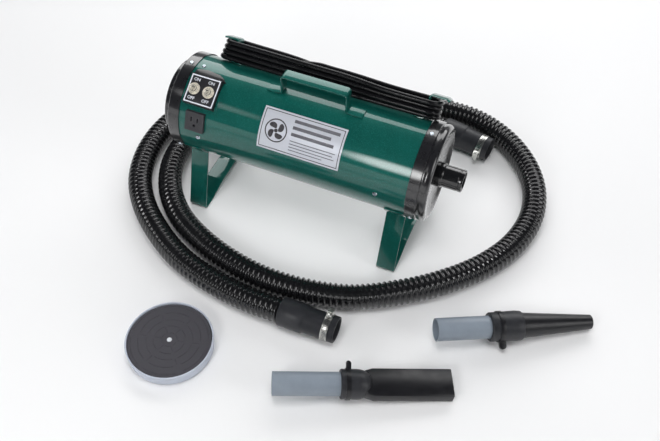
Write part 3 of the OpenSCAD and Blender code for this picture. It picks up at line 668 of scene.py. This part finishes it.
# ---------------------------------------------------------------- worm slots in the clamp bands
def clamp_slots(name, pos, yaw, turn):
    """The pressed slots that the worm runs in, as shallow dark strips round the band; their dark is
    painted shade in the pressed recesses.
    """
    verts, faces = [], []
    slots, arc, band_r = 44, 310, 25.5
    c, s = math.cos(math.radians(yaw)), math.sin(math.radians(yaw))

    def at(x, a, r):
        y, z = r * math.cos(a), r * math.sin(a)
        return (pos[0] + x * c - y * s, pos[1] + x * s + y * c, pos[2] + z)

    for i in range(slots):
        a = math.radians(turn + (360 - arc) / 2 + i * arc / (slots - 1))
        base = len(verts)
        for x, lead in ((86.6, -0.02), (93.9, 0.02)):
            for half_width in (-0.017, 0.017):
                for r in (band_r, band_r + 0.18):
                    verts.append(at(x, a + lead + half_width, r))
        for f in ((0, 1, 3, 2), (4, 6, 7, 5), (0, 4, 5, 1), (2, 3, 7, 6), (1, 5, 7, 3), (0, 2, 6, 4)):
            faces.append(tuple(base + q for q in f))
    return mesh_piece(name, verts, faces, smooth=False)


# The slot strips carry painted shade in place of the recesses' own shadow.
piece(clamp_slots("clamp_slots_front", *CUFF_FRONT), SLOT_SHADE, "dryer", "stainless")
piece(clamp_slots("clamp_slots_rear", *CUFF_REAR), SLOT_SHADE, "dryer", "stainless")


# ---------------------------------------------------------------- spare filter disc
FILTER = (-90.0, -405.0)
DISC_R = 74.4
DISC_TOP = 24.5
GROOVES = (13.5, 28.0, 40.5, 55.0, 68.5)


def filter_disc():
    """A pressed disc with broken ring grooves and six radial ones."""
    radii = sorted(set([0.0, 3.2, 6.0, 9.0, DISC_R, DISC_R - 0.8, DISC_R - 2.2]
                       + [g + d for g in GROOVES for d in (-1.5, -0.8, -0.3, 0.3, 0.8, 1.5)]
                       + [g + 7.0 for g in GROOVES[:-1]]))
    sides = 360
    verts, faces = [], []
    for r in radii:
        for j in range(sides):
            a = 2 * math.pi * j / sides
            drop = 0.0
            spoke = abs(((math.degrees(a) - 13) + 30) % 60 - 30)
            near = min(abs(r - g) for g in GROOVES)
            if near < 0.9 and spoke > 5.0 + 60.0 / max(r, 6):
                drop = 1.1 * (1 - smoothstep((near - 0.25) / 0.6))
            arc = math.radians(spoke) * r
            band = min(range(len(GROOVES)), key=lambda k: abs(r - GROOVES[k]))
            if arc < 0.9 and near > 0.9 and r > 9 and (band + int(r / 7)) % 2 == 0:
                drop = max(drop, 0.8)
            if r > DISC_R - 0.5:
                drop = 1.6
            elif r > DISC_R - 1.5:
                drop = 0.5
            verts.append((FILTER[0] + r * math.cos(a), FILTER[1] + r * math.sin(a),
                          DISC_TOP - drop))
    rings = len(radii)
    for i in range(rings - 1):
        for j in range(sides):
            k = (j + 1) % sides
            if i == 0 and radii[0] == 0.0:
                faces.append((j, (i + 1) * sides + j, (i + 1) * sides + k))
            else:
                faces.append((i * sides + j, (i + 1) * sides + j, (i + 1) * sides + k,
                              i * sides + k))
    base = len(verts)
    for j in range(sides):
        a = 2 * math.pi * j / sides
        verts.append((FILTER[0] + (DISC_R - 0.8) * math.cos(a),
                      FILTER[1] + (DISC_R - 0.8) * math.sin(a), 6.2))
    for j in range(sides):
        k = (j + 1) % sides
        faces.append(((rings - 1) * sides + j, base + j, base + k, (rings - 1) * sides + k))
    faces.append(tuple(base + j for j in range(sides - 1, -1, -1)))
    made = mesh_piece("filter_disc_face", verts, faces)
    weld = made.modifiers.new("weld", "WELD")
    weld.merge_threshold = WELD
    return made


piece(filter_disc(), FILTER_DISC, "spare_filter", "filter_disc", "spare_filter_disc")

# ---------------------------------------------------------------- floor and light
floor_mat, floor_tree, floor_bsdf = nodes_of("floor")
floor_bsdf.inputs["Base Color"].default_value = (0.93, 0.93, 0.935, 1)
floor_bsdf.inputs["Roughness"].default_value = 0.75
bpy.ops.mesh.primitive_plane_add(size=30, location=(0, 0, -0.0004))
floor = bpy.context.object
floor.name = "floor"
floor.data.materials.append(floor_mat)


def softbox(name, where, target, width, height, power):
    data = bpy.data.lights.new(name, "AREA")
    data.shape = "RECTANGLE"
    data.size, data.size_y = width, height
    data.energy = power
    lamp = link(bpy.data.objects.new(name, data))
    lamp.location = where
    aim = (Vector(where) - Vector(target)).normalized()
    lamp.rotation_mode = "QUATERNION"
    lamp.rotation_quaternion = aim.to_track_quat("Z", "Y")
    return lamp


def glow_card(name, where, target, width, height, strength, hard=0.35):
    """A diffusing card lit from behind: bright in the middle, fading towards its edges."""
    mat, tree, shader = nodes_of(name)
    tree.nodes.remove(shader)
    new, wire = tree.nodes.new, tree.links.new
    place = new("ShaderNodeTexCoord")
    spread = new("ShaderNodeMapping")
    spread.inputs["Scale"].default_value = (2, 2, 2)
    wire(place.outputs["Object"], spread.inputs["Vector"])
    fade = new("ShaderNodeTexGradient")
    fade.gradient_type = "SPHERICAL"
    wire(spread.outputs["Vector"], fade.inputs["Vector"])
    level = new("ShaderNodeMapRange")
    level.interpolation_type = "SMOOTHSTEP"
    level.inputs["From Max"].default_value = 1 - hard
    level.inputs["To Max"].default_value = strength
    wire(fade.outputs["Fac"], level.inputs["Value"])
    glow = new("ShaderNodeEmission")
    wire(level.outputs["Result"], glow.inputs["Strength"])
    wire(glow.outputs["Emission"], tree.nodes["Material Output"].inputs["Surface"])
    data = bpy.data.meshes.new(name)
    data.from_pydata([(-0.5, -0.5, 0), (0.5, -0.5, 0), (0.5, 0.5, 0), (-0.5, 0.5, 0)], [],
                     [(0, 1, 2, 3)])
    data.materials.append(mat)
    card = link(bpy.data.objects.new(name, data))
    card.location = where
    card.scale = (width, height, 1)
    card.rotation_mode = "QUATERNION"
    card.rotation_quaternion = (Vector(where) - Vector(target)).normalized().to_track_quat("Z", "Y")
    return card


MIDDLE = (0.03, -0.03, 0.2)
softbox("rear_card", (-0.35, 2.3, 1.75), MIDDLE, 4.2, 1.7, 72)
ceiling = softbox("overhead", (0.2, -0.5, 2.6), (0.1, -0.1, 0), 1.6, 1.2, 32)
ceiling.visible_glossy = False
glow_card("strip", (-0.12, -1.52, 1.12), (0.17, 0, 0.2), 0.60, 0.85, 12, 0.25)
glow_card("left_glow", (-0.92, -1.10, 1.52), (-0.17, 0, 0.25), 1.0, 0.6, 1.8, 0.1)
side = softbox("left_fill", (-2.2, -0.9, 1.3), MIDDLE, 1.2, 1.0, 8)
side.visible_glossy = False
softbox("right_fill", (2.4, -0.4, 1.2), MIDDLE, 1.0, 1.2, 12)
softbox("front_card", (0.1, -2.7, 0.36), (0.1, 0, 0.1), 5.0, 0.70, 11)

world = bpy.data.worlds.new("world")
bpy.context.scene.world = world
world.use_nodes = True
world.node_tree.nodes["Background"].inputs["Color"].default_value = (0.80, 0.86, 0.95, 1)
world.node_tree.nodes["Background"].inputs["Strength"].default_value = 0.06
bpy.context.scene.view_settings.view_transform = "Standard"

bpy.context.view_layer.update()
